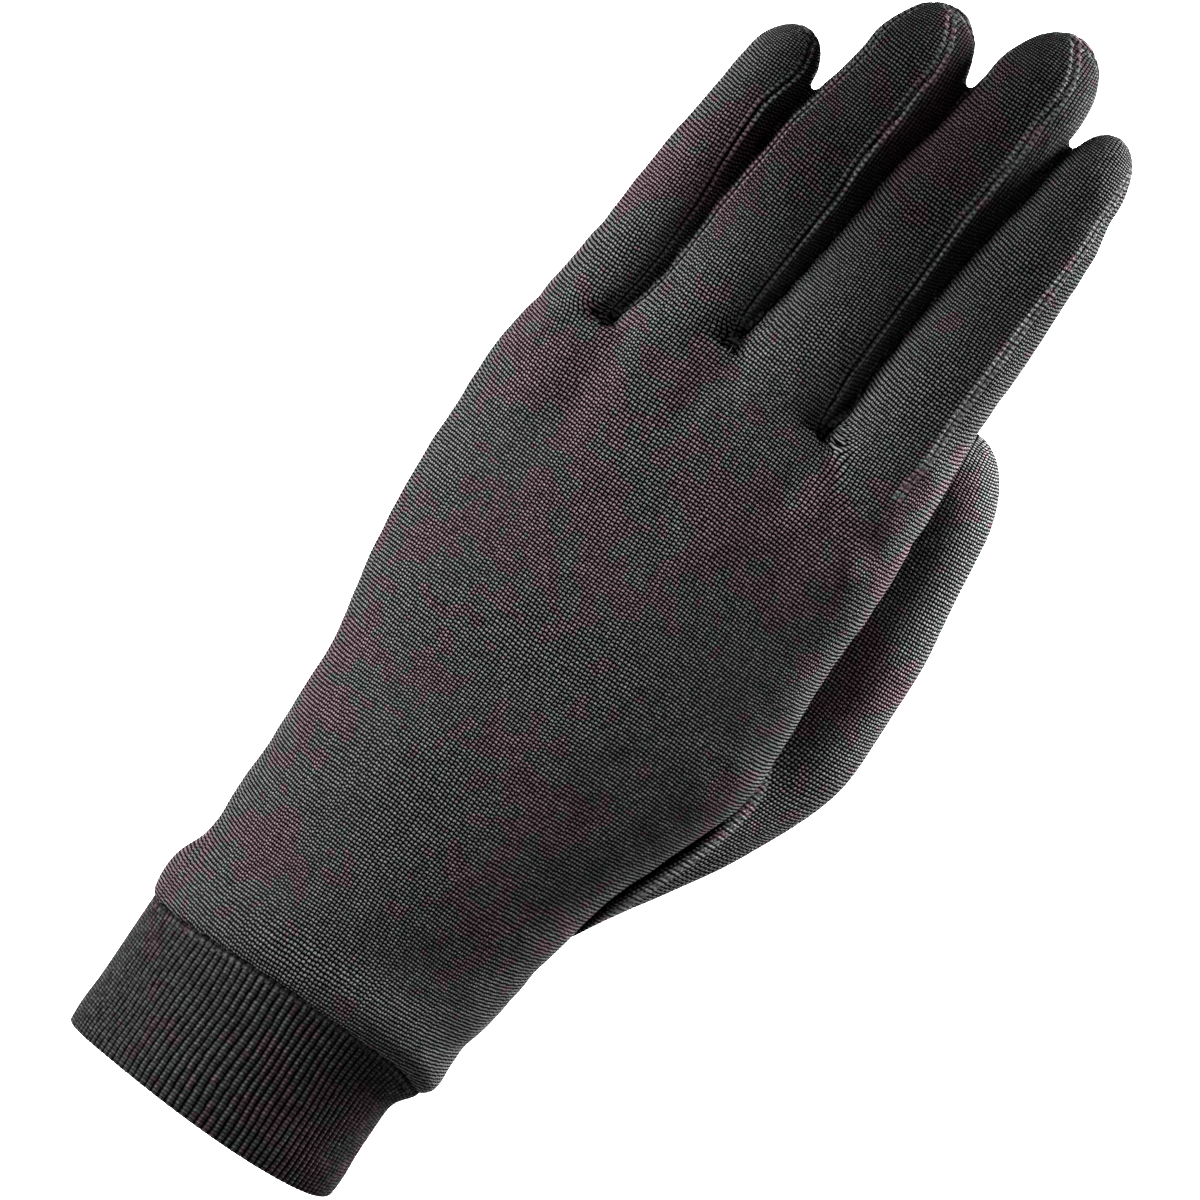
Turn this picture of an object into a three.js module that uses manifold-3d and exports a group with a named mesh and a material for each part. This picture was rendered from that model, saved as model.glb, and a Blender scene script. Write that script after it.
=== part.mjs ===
// A knitted glove liner for the left hand, in the form that a hand gives it.
// Millimetres. The origin is the centre of the cuff's opening, the fingers point up +Z,
// the back of the hand faces -Y and the thumb lies towards +X, a little behind the palm.
import * as THREE from 'three'
import Module from 'manifold-3d'

const wasm = await Module()
wasm.setup()

// Cloth
const WALL = 1.0 // knit of the hand, thumb and fourchettes
const SEAM_GAP = 0.3 // between pieces that are sewn together

// Cuff, a tube of 1x1 rib folded double at its rim
const CUFF_HEIGHT = 28
const CUFF_WIDTH = 59
const CUFF_DEPTH = 42
const CUFF_WALL = 2.0
const RIB_PITCH = 1.33
const RIB_DEPTH = 0.35
const RIM_ROUND = 0.9 // how far the rim is rounded off
const CUFF_ROUND = 2.1

// Hem, where the hand's cloth puffs out over the cuff
const HEM_WIDTH = 65.8
const HEM_DEPTH = 47
const HEM_RISE = 4.6

// Hand, from the cuff's seam to the roots of the fingers
const WRIST_WIDTH = 64.7
const WRIST_DEPTH = 42
const PALM_WIDTH = 86.6
const PALM_DEPTH = 27
const PALM_LENGTH = 145
const HAND_SHIFT = 10 // how far the palm lies towards the thumb
const BACK_LIFT = 2.5 // how far the knuckles' middle comes towards the back
const KNUCKLE_SLANT = 0.06 // rise of the forefinger's side towards the back, for each mm across

// Fingers, whose own table is below
const FINGER_LENGTH = 86.1 // the middle finger's, from the knuckles to its tip
const FINGER_DEPTH = 18.8
const FINGER_CURL = 8 // how far the longest fingertip bends towards the palm
const FINGER_ROUND = 2.3
const WEB_SLOPE = 10 // fall of the webs' line to the outer sides of the hand

// Soft forms of the hand
const DENT_DEPTH = 1.5 // the deepest dent in the back
const SWELL_HEIGHT = 3.0 // the highest swell of the palm

// Fourchettes, the strips between neighbouring fingers
const FOURCHETTE_WIDTH = 11
const FOURCHETTE_DROP = 5 // below its web
const FOURCHETTE_STOP = 7 // short of the fingertip
const FOURCHETTE_TURN = 3 // from the fingers' middle, towards the back on their thumb side
const FOURCHETTE_RISE = 13 // above its web, where it has turned that far

// Thumb, whose foot lies inside the hand
const THUMB_LENGTH = 122.3
const THUMB_WIDTH = 21.8
const THUMB_DEPTH = 20.5
const THUMB_DOME = 17
const THUMB_ROUND = 2.2
const THUMB_REACH = 26.2 // from the foot's place across to the thumb's own
const THUMB_SETBACK = 17 // behind the hand's middle

const SEAM_HEIGHT = CUFF_HEIGHT + SEAM_GAP
const KNUCKLE_HEIGHT = SEAM_HEIGHT + PALM_LENGTH

// Corners of a section and rings of a dome, outside and inside the cloth. The roundness of a
// section is 2 for an ellipse and more for a squarer one.
const FINE = { hand: 30, finger: 14, thumb: 16, dome: 4 }
const PLAIN = { hand: 20, finger: 10, thumb: 12, dome: 2 }

// Hem rows: rise is a share of HEM_RISE, swell goes from the cuff's size to the hem's.
const HEM_ROWS = [
  { rise: 0.00, swell: 0.00 },
  { rise: 0.18, swell: 0.62 },
  { rise: 0.52, swell: 0.92 },
  { rise: 1.00, swell: 1.00 },
  { rise: 1.70, swell: 0.97 },
]

// Hand rows: up is a share of PALM_LENGTH, widen goes from WRIST_WIDTH to PALM_WIDTH,
// shift is a share of HAND_SHIFT, deepen goes from WRIST_DEPTH to PALM_DEPTH.
const HAND_ROWS = [
  { up: 0.108, widen: 0.00, shift: 0.44, deepen: 0.05, round: 2.1 },
  { up: 0.186, widen: 0.03, shift: 0.51, deepen: 0.13, round: 2.1 },
  { up: 0.270, widen: 0.15, shift: 0.62, deepen: 0.22, round: 2.1 },
  { up: 0.340, widen: 0.29, shift: 0.71, deepen: 0.32, round: 2.2 },
  { up: 0.405, widen: 0.47, shift: 0.88, deepen: 0.44, round: 2.2 },
  { up: 0.469, widen: 0.69, shift: 0.98, deepen: 0.56, round: 2.3 },
  { up: 0.546, widen: 0.91, shift: 1.05, deepen: 0.70, round: 2.4 },
  { up: 0.640, widen: 0.96, shift: 0.97, deepen: 0.83, round: 2.4 },
  { up: 0.740, widen: 0.97, shift: 0.91, deepen: 0.94, round: 2.5 },
  { up: 0.830, widen: 1.00, shift: 0.92, deepen: 1.04, round: 2.7 },
  { up: 0.910, widen: 0.93, shift: 0.96, deepen: 1.26, round: 3.0 },
  { up: 0.970, widen: 0.80, shift: 1.00, deepen: 1.44, round: 3.3 },
  { up: 1.060, widen: 0.64, shift: 1.00, deepen: 1.54, round: 3.4 },
]

// Fingers: root is the place across from the hand's middle and width the finger's, as shares of
// PALM_WIDTH, and depth is a share of FINGER_DEPTH. lean is how far the tip lies aside of the
// root, height is the tip's above the knuckles and dome that of its round end, as shares of
// FINGER_LENGTH. In the rows up is a share of the height below the dome, lean a share of lean,
// and wide and deep are shares of width and depth.
const FINGERS = [
  {
    root: -0.403, width: 0.166, depth: 0.85, lean: 0.081, height: 0.691, dome: 0.105,
    rows: [
      { up: -0.45, lean: -0.14, wide: 0.90, deep: 1.05 },
      { up: -0.10, lean: -0.10, wide: 0.87, deep: 1.10 },
      { up: 0.04, lean: 0.15, wide: 0.95, deep: 1.09 },
      { up: 0.18, lean: 0.28, wide: 0.97, deep: 1.06 },
      { up: 0.33, lean: 0.36, wide: 0.96, deep: 1.03 },
      { up: 0.50, lean: 0.44, wide: 0.95, deep: 1.00 },
      { up: 0.68, lean: 0.54, wide: 0.93, deep: 0.99 },
      { up: 0.86, lean: 0.70, wide: 0.93, deep: 0.97 },
      { up: 1.00, lean: 0.86, wide: 0.95, deep: 0.92 },
    ],
  },
  {
    root: -0.210, width: 0.240, depth: 0.98, lean: 0.130, height: 0.904, dome: 0.174,
    rows: [
      { up: -0.35, lean: -0.07, wide: 0.96, deep: 1.02 },
      { up: -0.08, lean: -0.06, wide: 0.92, deep: 1.12 },
      { up: 0.03, lean: 0.06, wide: 0.86, deep: 1.11 },
      { up: 0.14, lean: 0.18, wide: 0.87, deep: 1.09 },
      { up: 0.26, lean: 0.28, wide: 0.93, deep: 1.06 },
      { up: 0.42, lean: 0.37, wide: 0.97, deep: 1.03 },
      { up: 0.58, lean: 0.49, wide: 0.99, deep: 1.01 },
      { up: 0.74, lean: 0.59, wide: 0.98, deep: 0.99 },
      { up: 0.87, lean: 0.76, wide: 0.97, deep: 0.97 },
      { up: 1.00, lean: 0.89, wide: 0.94, deep: 0.94 },
    ],
  },
  {
    root: 0.039, width: 0.2425, depth: 1.00, lean: 0.135, height: 1.000, dome: 0.174,
    rows: [
      { up: -0.30, lean: -0.10, wide: 1.04, deep: 1.02 },
      { up: -0.06, lean: -0.05, wide: 1.07, deep: 1.12 },
      { up: 0.02, lean: 0.03, wide: 1.10, deep: 1.11 },
      { up: 0.09, lean: 0.11, wide: 1.12, deep: 1.10 },
      { up: 0.16, lean: 0.18, wide: 1.07, deep: 1.08 },
      { up: 0.23, lean: 0.25, wide: 1.03, deep: 1.06 },
      { up: 0.38, lean: 0.35, wide: 1.00, deep: 1.03 },
      { up: 0.52, lean: 0.46, wide: 0.99, deep: 1.01 },
      { up: 0.66, lean: 0.56, wide: 1.00, deep: 0.99 },
      { up: 0.84, lean: 0.77, wide: 0.98, deep: 0.97 },
      { up: 1.00, lean: 0.90, wide: 0.95, deep: 0.94 },
    ],
  },
  {
    root: 0.334, width: 0.2587, depth: 1.01, lean: 0.028, height: 0.871, dome: 0.163,
    rows: [
      { up: -0.35, lean: 0.00, wide: 1.08, deep: 1.02 },
      { up: -0.08, lean: -0.26, wide: 1.17, deep: 1.12 },
      { up: 0.00, lean: -0.21, wide: 1.14, deep: 1.11 },
      { up: 0.08, lean: 0.08, wide: 1.05, deep: 1.10 },
      { up: 0.27, lean: 0.03, wide: 0.99, deep: 1.06 },
      { up: 0.51, lean: 0.28, wide: 0.94, deep: 1.00 },
      { up: 0.73, lean: 0.60, wide: 0.85, deep: 0.93 },
      { up: 0.88, lean: 0.90, wide: 0.76, deep: 0.87 },
      { up: 1.00, lean: 0.88, wide: 0.66, deep: 0.80 },
    ],
  },
]

// Webs between each finger and the next: across is the place from the hand's middle, a share of
// PALM_WIDTH, and rise is the height above the knuckles, a share of PALM_LENGTH.
const WEBS = [
  { name: 'fourchette_little_ring', across: -0.322, rise: -0.024 },
  { name: 'fourchette_ring_middle', across: -0.088, rise: 0.039 },
  { name: 'fourchette_middle_fore', across: 0.180, rise: 0.003 },
]

// Thumb rows: up is a share of the length from the foot to the dome, across one of THUMB_REACH,
// back one of THUMB_SETBACK, wide and deep are shares of THUMB_WIDTH and THUMB_DEPTH.
const THUMB_ROWS = [
  { up: 0.000, across: 0.00, back: 0.05, wide: 0.80, deep: 0.80 },
  { up: 0.090, across: 0.12, back: 0.20, wide: 1.00, deep: 0.98 },
  { up: 0.170, across: 0.28, back: 0.38, wide: 1.16, deep: 1.14 },
  { up: 0.240, across: 0.44, back: 0.54, wide: 1.22, deep: 1.20 },
  { up: 0.320, across: 0.62, back: 0.70, wide: 1.22, deep: 1.18 },
  { up: 0.400, across: 0.80, back: 0.84, wide: 1.16, deep: 1.12 },
  { up: 0.480, across: 0.94, back: 0.94, wide: 1.07, deep: 1.06 },
  { up: 0.590, across: 1.00, back: 1.00, wide: 1.00, deep: 1.02 },
  { up: 0.720, across: 0.99, back: 1.00, wide: 0.99, deep: 1.00 },
  { up: 0.860, across: 0.93, back: 0.98, wide: 0.99, deep: 0.98 },
  { up: 1.000, across: 0.86, back: 0.94, wide: 0.97, deep: 0.95 },
]
const THUMB_TOP = { across: 0.78, back: 0.88 }
const THUMB_FOOT = { across: 0.231, up: 0.244 } // shares of PALM_WIDTH and PALM_LENGTH

// Soft dents on the back of the hand and swells on its palm side. across and rise are shares of
// PALM_WIDTH and PALM_LENGTH from the middle of the knuckles, and so are wide and tall. move is
// a share of DENT_DEPTH or SWELL_HEIGHT.
const DENTS = [
  { across: -0.31, rise: -0.06, wide: 0.045, tall: 0.15, move: 1.00 },
  { across: -0.08, rise: 0.00, wide: 0.045, tall: 0.13, move: 0.80 },
  { across: 0.19, rise: -0.02, wide: 0.045, tall: 0.13, move: 0.80 },
  { across: 0.28, rise: -0.16, wide: 0.100, tall: 0.06, move: 0.53 },
  { across: 0.24, rise: -0.62, wide: 0.060, tall: 0.22, move: 0.47 },
]
const SWELLS = [
  { across: 0.22, rise: -0.62, wide: 0.20, tall: 0.20, move: 1.00 },
  { across: -0.32, rise: -0.58, wide: 0.18, tall: 0.30, move: 0.73 },
  { across: 0.02, rise: -0.12, wide: 0.40, tall: 0.07, move: 0.47 },
]

// Heights at which the surface between back and palm bends, as shares of PALM_LENGTH.
const HALVING_HEIGHTS = [-0.3, 0.3, 0.7, 1, 1.15, 1.3, 1.45, 1.6, 1.75]

const blend = THREE.MathUtils.lerp
const acrossHand = (share) => HAND_SHIFT + share * PALM_WIDTH
const upHand = (share) => SEAM_HEIGHT + share * PALM_LENGTH

// The surface that halves the hand's thickness, from which its sections are measured.
function middleAt(across, height) {
  const raised = THREE.MathUtils.smoothstep(height, SEAM_HEIGHT, KNUCKLE_HEIGHT)
  const curl = FINGER_CURL * Math.max(0, (height - KNUCKLE_HEIGHT) / FINGER_LENGTH) ** 2
  return curl - raised * (BACK_LIFT + KNUCKLE_SLANT * across)
}

// The sum of a table's dents or swells at a place, in shares of the largest.
function reliefAt(table, across, height) {
  return table.reduce((sum, form) => {
    const aside = (across - acrossHand(form.across)) / (form.wide * PALM_WIDTH)
    const above = (height - upHand(1 + form.rise)) / (form.tall * PALM_LENGTH)
    return sum + form.move * Math.exp(-aside * aside - above * above)
  }, 0)
}

// How far the hand's cloth moves towards the palm's side, on its back or on its palm.
function reliefOf(sin, across, height) {
  return Math.abs(sin) * (sin < 0
    ? DENT_DEPTH * reliefAt(DENTS, across, height)
    : SWELL_HEIGHT * reliefAt(SWELLS, across, height))
}

// A level oval. middle gives the place of its middle from front to back at each point across.
function oval({ across, height, wide, deep, round }, sides, middle) {
  return Array.from({ length: sides }, (_, side) => {
    const angle = (side / sides) * Math.PI * 2
    const bulge = (value) => Math.sign(value) * Math.abs(value) ** (2 / round)
    const x = across + (wide / 2) * bulge(Math.cos(angle))
    const y = (deep / 2) * bulge(Math.sin(angle))
    return new THREE.Vector3(x, y + middle(x, height, Math.sin(angle)), height)
  })
}

// A closed solid through rings that have the same number of points, from the lowest up.
function stack(rings) {
  const sides = rings[0].length
  const top = (rings.length - 1) * sides
  const centre = (ring) => ring
    .reduce((sum, point) => sum.add(point), new THREE.Vector3())
    .divideScalar(sides)
  const points = [...rings.flat(), centre(rings[0]), centre(rings.at(-1))]
  const triangles = []
  for (let side = 0; side < sides; side += 1) {
    const next = (side + 1) % sides
    triangles.push(top + sides, next, side, top + sides + 1, top + side, top + next)
    for (let low = 0; low < top; low += sides) {
      const high = low + sides
      triangles.push(low + side, low + next, high + next, low + side, high + next, high + side)
    }
  }
  return solidOf(new THREE.BufferGeometry().setFromPoints(points).setIndex(triangles))
}

// A three.js geometry as a solid, with its equal points joined.
function solidOf(geometry) {
  const places = geometry.attributes.position
  const mesh = new wasm.Mesh({
    numProp: 3,
    vertProperties: new Float32Array(places.array),
    triVerts: Uint32Array.from(geometry.index?.array ?? Array(places.count).keys()),
  })
  mesh.merge()
  return new wasm.Manifold(mesh)
}

const union = (solids) => solids.reduce((sum, solid) => sum.add(solid))

// Rounds off a run of sections: rings that shrink on an ellipse up to the tip.
function withDome(sections, tip, steps) {
  const last = sections.at(-1)
  const rings = Array.from({ length: steps }, (_, step) => {
    const turn = ((step + 1) / (steps + 0.35)) * (Math.PI / 2)
    const along = Math.sin(turn)
    return {
      ...last,
      across: blend(last.across, tip.across, along),
      back: blend(last.back ?? 0, tip.back ?? 0, along),
      height: blend(last.height, tip.height, along),
      wide: last.wide * Math.cos(turn),
      deep: last.deep * Math.cos(turn),
    }
  })
  return [...sections, ...rings]
}

// Everything below the line that runs through the webs.
function belowWebs(drop) {
  const far = PALM_WIDTH * 2
  const low = KNUCKLE_HEIGHT - WEB_SLOPE - drop
  const [little, fore] = [FINGERS[0], FINGERS.at(-1)]
  const littleSide = acrossHand(little.root - little.width / 2)
  const foreSide = acrossHand(fore.root + fore.width / 2)
  const webs = WEBS.map((web) => new THREE.Vector2(acrossHand(web.across), upHand(1 + web.rise) - drop))
  const outline = new THREE.Shape()
  outline.moveTo(-far, -far)
  outline.lineTo(far, -far)
  outline.lineTo(far, low)
  outline.lineTo(foreSide, low)
  outline.splineThru([...webs.reverse(), new THREE.Vector2(littleSide, low)])
  outline.lineTo(-far, low)
  outline.closePath()
  const geometry = new THREE.ExtrudeGeometry(outline, { depth: far, bevelEnabled: false, curveSegments: 3 })
  geometry.rotateX(Math.PI / 2)
  geometry.translate(0, far / 2, 0)
  return solidOf(geometry)
}

// The hand without its fingers, grown by a margin, or smaller where that is negative.
function handSolid(margin, look) {
  const hem = HEM_ROWS.map(({ rise, swell }) => ({
    across: HAND_ROWS[0].shift * HAND_SHIFT * swell / 2,
    height: SEAM_HEIGHT + rise * HEM_RISE,
    wide: blend(CUFF_WIDTH, HEM_WIDTH, swell),
    deep: blend(CUFF_DEPTH, HEM_DEPTH, swell),
    round: CUFF_ROUND,
  }))
  const body = HAND_ROWS.map((row) => ({
    across: row.shift * HAND_SHIFT,
    height: upHand(row.up),
    wide: blend(WRIST_WIDTH, PALM_WIDTH, row.widen),
    deep: blend(WRIST_DEPTH, PALM_DEPTH, row.deepen),
    round: row.round,
  }))
  const mouth = margin < 0 ? [{ ...hem[0], height: SEAM_HEIGHT - HEM_RISE }] : []
  const sections = [...mouth, ...hem, ...body].map((section) => ({
    ...section,
    wide: section.wide + 2 * margin,
    deep: section.deep + 2 * margin,
  }))
  const middle = (x, height, sin) => middleAt(x, height) + reliefOf(sin, x, height)
  return stack(sections.map((section) => oval(section, look.hand, middle)))
    .intersect(belowWebs(-margin))
}

function fingerSections(finger, margin, look) {
  const sections = finger.rows.map((row) => ({
    across: acrossHand(finger.root) + row.lean * finger.lean * FINGER_LENGTH,
    height: KNUCKLE_HEIGHT + row.up * (finger.height - finger.dome) * FINGER_LENGTH,
    wide: PALM_WIDTH * finger.width * row.wide + 2 * margin,
    deep: FINGER_DEPTH * finger.depth * row.deep + 2 * margin,
    round: FINGER_ROUND,
  }))
  const tip = {
    across: acrossHand(finger.root) + finger.lean * FINGER_LENGTH,
    height: KNUCKLE_HEIGHT + finger.height * FINGER_LENGTH + margin,
  }
  return withDome(sections, tip, look.dome)
}

function fingerSolid(finger, margin, look) {
  return stack(fingerSections(finger, margin, look)
    .map((section) => oval(section, look.finger, middleAt)))
}

function thumbSolid(margin, look) {
  const start = acrossHand(THUMB_FOOT.across)
  const foot = upHand(THUMB_FOOT.up)
  const sections = THUMB_ROWS.map((row) => ({
    across: start + row.across * THUMB_REACH,
    back: row.back * THUMB_SETBACK,
    height: foot + row.up * (THUMB_LENGTH - THUMB_DOME),
    wide: THUMB_WIDTH * row.wide + 2 * margin,
    deep: THUMB_DEPTH * row.deep + 2 * margin,
    round: THUMB_ROUND,
  }))
  const tip = {
    across: start + THUMB_TOP.across * THUMB_REACH,
    back: THUMB_TOP.back * THUMB_SETBACK,
    height: foot + THUMB_LENGTH + margin,
  }
  return stack(withDome(sections, tip, look.dome)
    .map((section) => oval(section, look.thumb, () => section.back)))
}

// A block with level four-cornered sections, given by a function, at each of some heights.
function block(heights, cornersAt) {
  return stack(heights.map((height) => {
    const { left, right, front, rear } = cornersAt(height)
    return [
      new THREE.Vector3(left, front(left), height),
      new THREE.Vector3(right, front(right), height),
      new THREE.Vector3(right, rear(right), height),
      new THREE.Vector3(left, rear(left), height),
    ]
  }))
}

// Everything on the back's side of the hand's middle, and a margin more.
function backHalf(margin) {
  return block(HALVING_HEIGHTS.map(upHand), (height) => ({
    left: -PALM_WIDTH,
    right: PALM_WIDTH,
    front: () => -PALM_WIDTH,
    rear: (x) => middleAt(x, height) + margin,
  }))
}

// The room of the fourchette between two fingers: a strip up the side of each, joined at the web.
function fourchetteRoom(web, fingers, margin) {
  const webHeight = upHand(1 + web.rise)
  const foot = webHeight - FOURCHETTE_DROP - margin
  const half = FOURCHETTE_WIDTH / 2 + margin
  const turnAt = (height) => FOURCHETTE_TURN * THREE.MathUtils.smoothstep(
    height, webHeight - FOURCHETTE_DROP, webHeight + FOURCHETTE_RISE)
  const band = (height, left, right, aside) => ({
    left,
    right,
    front: (x) => middleAt(x, height) + aside - half,
    rear: (x) => middleAt(x, height) + aside + half,
  })
  const strips = fingers.map((finger, index) => {
    const sections = fingerSections(finger, 0, FINE)
    const facing = index === 0 ? 1 : -1
    const stop = KNUCKLE_HEIGHT + finger.height * FINGER_LENGTH - FOURCHETTE_STOP + margin
    const heights = sections.map((section) => section.height)
    const between = heights.filter((height) => height > foot && height < stop)
    return block([foot, ...between, stop], (height) => {
      const above = sections.findIndex((section) => section.height >= height)
      const [low, high] = [sections[above - 1], sections[above]]
      const share = (height - low.height) / (high.height - low.height)
      const axis = blend(low.across, high.across, share)
      const edge = axis + facing * (blend(low.wide, high.wide, share) / 2 + SEAM_GAP)
      return band(height, Math.min(axis, edge), Math.max(axis, edge), -facing * turnAt(height))
    })
  })
  const left = acrossHand(web.across) - FOURCHETTE_WIDTH / 3
  const right = acrossHand(web.across) + FOURCHETTE_WIDTH / 3
  const saddle = block([foot, webHeight + SEAM_GAP], (height) => band(height, left, right, 0))
  return union([...strips, saddle])
}

// A level ring around the cuff, grown by a margin.
function cuffRing(height, margin, sides) {
  const wide = CUFF_WIDTH + 2 * margin
  const deep = CUFF_DEPTH + 2 * margin
  return oval({ across: 0, height, wide, deep, round: CUFF_ROUND }, sides, () => 0)
}

// The same ring in ribs: every second point lies deeper.
function ribbedRing(height, margin) {
  const girth = Math.PI * (CUFF_WIDTH + CUFF_DEPTH) / 2
  return cuffRing(height, margin, 2 * Math.round(girth / RIB_PITCH)).map((point, index) => {
    const sink = (index % 2) * RIB_DEPTH
    return point.sub(new THREE.Vector3(point.x, point.y, 0).normalize().multiplyScalar(sink))
  })
}

// The cuff: an oval tube whose outside is all ribs, with a round rim at its opening.
function cuffSolid() {
  const outside = stack([
    ribbedRing(0, -RIM_ROUND),
    ribbedRing(RIM_ROUND, 0),
    ribbedRing(CUFF_HEIGHT, 0),
  ])
  const inside = stack([
    cuffRing(-CUFF_HEIGHT, -CUFF_WALL, PLAIN.hand),
    cuffRing(2 * CUFF_HEIGHT, -CUFF_WALL, PLAIN.hand),
  ])
  return outside.subtract(inside)
}

const outside = union([handSolid(0, FINE), ...FINGERS.map((finger) => fingerSolid(finger, 0, FINE))])
const inside = union([handSolid(-WALL, PLAIN), ...FINGERS.map((finger) => fingerSolid(finger, -WALL, PLAIN))])
const thumbInside = thumbSolid(-WALL, PLAIN)
const cloth = outside.subtract(inside).subtract(thumbInside)

const pairs = WEBS.map((web, index) => ({ web, fingers: FINGERS.slice(index, index + 2) }))
const rooms = pairs.map(({ web, fingers }) => fourchetteRoom(web, fingers, SEAM_GAP))
const panels = cloth.subtract(union(rooms))

const KNIT = { color: 0x2b292b, roughness: 0.9, metalness: 0 }
const DARK_KNIT = { color: 0x1f1e20, roughness: 0.92, metalness: 0 }
const RIB = { color: 0x242226, roughness: 0.92, metalness: 0 }

const glove = new THREE.Group()

function addPiece(name, solid, look) {
  const { vertProperties, triVerts } = solid.getMesh()
  const geometry = new THREE.BufferGeometry()
  geometry.setAttribute('position', new THREE.BufferAttribute(vertProperties, 3))
  geometry.setIndex(new THREE.BufferAttribute(triVerts, 1))
  geometry.computeVertexNormals()
  const mesh = new THREE.Mesh(geometry, new THREE.MeshStandardMaterial(look))
  mesh.name = name
  glove.add(mesh)
}

addPiece('cuff', cuffSolid(), RIB)
addPiece('back_panel', panels.intersect(backHalf(-SEAM_GAP / 2)), KNIT)
addPiece('palm_panel', panels.subtract(backHalf(SEAM_GAP / 2)), KNIT)
for (const { web, fingers } of pairs) {
  addPiece(web.name, cloth.intersect(fourchetteRoom(web, fingers, 0)), DARK_KNIT)
}
addPiece('thumb', thumbSolid(0, FINE).subtract(thumbInside).subtract(handSolid(SEAM_GAP, FINE)), KNIT)

export default glove
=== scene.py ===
"""A knitted glove liner for the left hand, held up in the form that a hand gives it."""

import math

import bpy
import numpy as np
from mathutils import Matrix, Vector


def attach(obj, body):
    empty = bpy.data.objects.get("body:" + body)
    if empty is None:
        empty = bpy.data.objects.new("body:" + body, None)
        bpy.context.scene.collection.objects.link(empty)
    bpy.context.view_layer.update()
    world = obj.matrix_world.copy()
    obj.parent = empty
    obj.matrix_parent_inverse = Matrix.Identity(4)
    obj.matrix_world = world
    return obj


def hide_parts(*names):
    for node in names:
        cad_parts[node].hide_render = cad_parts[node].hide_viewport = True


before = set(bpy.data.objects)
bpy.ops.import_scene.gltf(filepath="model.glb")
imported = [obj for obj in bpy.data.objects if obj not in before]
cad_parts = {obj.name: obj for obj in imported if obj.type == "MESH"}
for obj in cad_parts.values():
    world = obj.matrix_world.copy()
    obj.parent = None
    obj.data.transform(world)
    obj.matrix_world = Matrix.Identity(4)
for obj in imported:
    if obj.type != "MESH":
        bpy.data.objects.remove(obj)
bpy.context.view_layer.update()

# Sizes in millimetres, in the frame of the part: the origin is the centre of the cuff's
# opening, the fingers point up +Z, the back of the hand faces -Y and the thumb lies at +X.
CLOTH = 0.8  # thickness of the knit
SEAM_GAP = 0.3

CUFF_HEIGHT = 28
CUFF_WIDTH = 59
CUFF_DEPTH = 42
CUFF_WALL = 2.0
CUFF_ROUND = 2.1
CUFF_SWELL = 0.35  # how far the cuff swells above its rim
CUFF_FLARE = 3.3  # how far its top widens towards the hem at the thumb's side
RIB_PITCH = 1.33
RIB_DEPTH = 0.32
RIM_ROUND = 0.6
RIM_SLOPE = 0.04  # slope across of the cuff's lower edge on the back
RIM_DROP = 0.8  # drop of that edge at both sides
SEAM_WAVE = 3.3  # rise of the cuff's seam on the back and the palm
SIDE_RISE = 0.4  # rise of that seam at the sides
THUMB_SIDE_DROP = 3.8  # drop of that seam at the thumb's side

HEM_WIDTH = 65.8
HEM_DEPTH = 47
HEM_RISE = 4.6
HEM_TOP = 6.4  # height above the seam at which the hand's own rows start
HEM_ROWS = ((0.6, 0.10), (-0.2, 0.40), (0.4, 0.70), (1.8, 0.91), (3.6, 1.0))  # rise, swell

WRIST_WIDTH = 64.7
WRIST_DEPTH = 42
PALM_WIDTH = 86.6
PALM_DEPTH = 27
PALM_LENGTH = 145
HAND_SHIFT = 10
BACK_LIFT = 2.5
KNUCKLE_SLANT = 0.06

FINGER_LENGTH = 86.1
FINGER_DEPTH = 18.8
FINGER_CURL = 8
FINGER_ROUND = 2.3
WEB_SLOPE = 10
DENT_DEPTH = 1.5
SWELL_HEIGHT = 3.0

FOURCHETTE_WIDTH = 11
FOURCHETTE_DROP = 5
FOURCHETTE_RISE = 13

THUMB_LENGTH = 122.3
THUMB_WIDTH = 21.8
THUMB_DEPTH = 20.5
THUMB_DOME = 17
THUMB_ROUND = 2.2
THUMB_REACH = 26.2
THUMB_SETBACK = 17
THUMB_TOP = (0.78, 0.88)
THUMB_FOOT = (0.231, 0.244)

SEAM_HEIGHT = CUFF_HEIGHT + SEAM_GAP
KNUCKLE_HEIGHT = SEAM_HEIGHT + PALM_LENGTH

VOXEL = 0.75  # size of the faces of the hand's cloth
SMOOTH_ROUNDS = 10  # smoothing of that cloth
WEB_ROUNDS = 22  # more of it beside the webs
HAND_SIDES, FINGER_SIDES, THUMB_SIDES = 240, 90, 96  # points round a ring
THINNEST = 0.3  # least half width of a section that is divided by

WALE = 0.80  # width of a column of loops
COURSE = 0.75  # height of a row of loops
RIB_COURSE = 0.66  # the same in the cuff
LOOP_LEAN = 0.22  # rise of a loop's sides, in rows
COLUMN_SHIFT = 0.25  # most that a column is shifted against the next, in rows
LOOP_SPREAD = 0.26  # how much the loops' brightness differs
LOOP_FUZZ = 0.25  # roughness of the loops
STITCH = 1.1  # length of a stitch along the seams
FINGER_PAINTED_SHADE = 0.32  # brightness of loops at the long fingers' ends: painted shade for the weaker light there
PAINTED_SHADE_RISE = (0.172, 0.220)  # heights, in metres, between which that comes in
SEAM_FADE = (0.205, 0.235)  # heights, in metres, between which the seams' lines fade

# Noise in the knit, in waves to the metre
SWAY_SCALE = 420.0
FUZZ_SCALE = 2600.0
CLOUD_SCALE = 38.0
SPECK_SCALE = 210.0

# Colours of the yarn before each knit's shade, on the loops' tops partly painted highlight, and of
# the gaps between loops, whose near black is partly painted shade
YARN = (0.57, 0.57, 0.57)
MAROON = (0.715, 0.477, 0.56)
MOSS = (0.46, 0.575, 0.54)
GAP = (0.0008, 0.0008, 0.0008)

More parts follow.
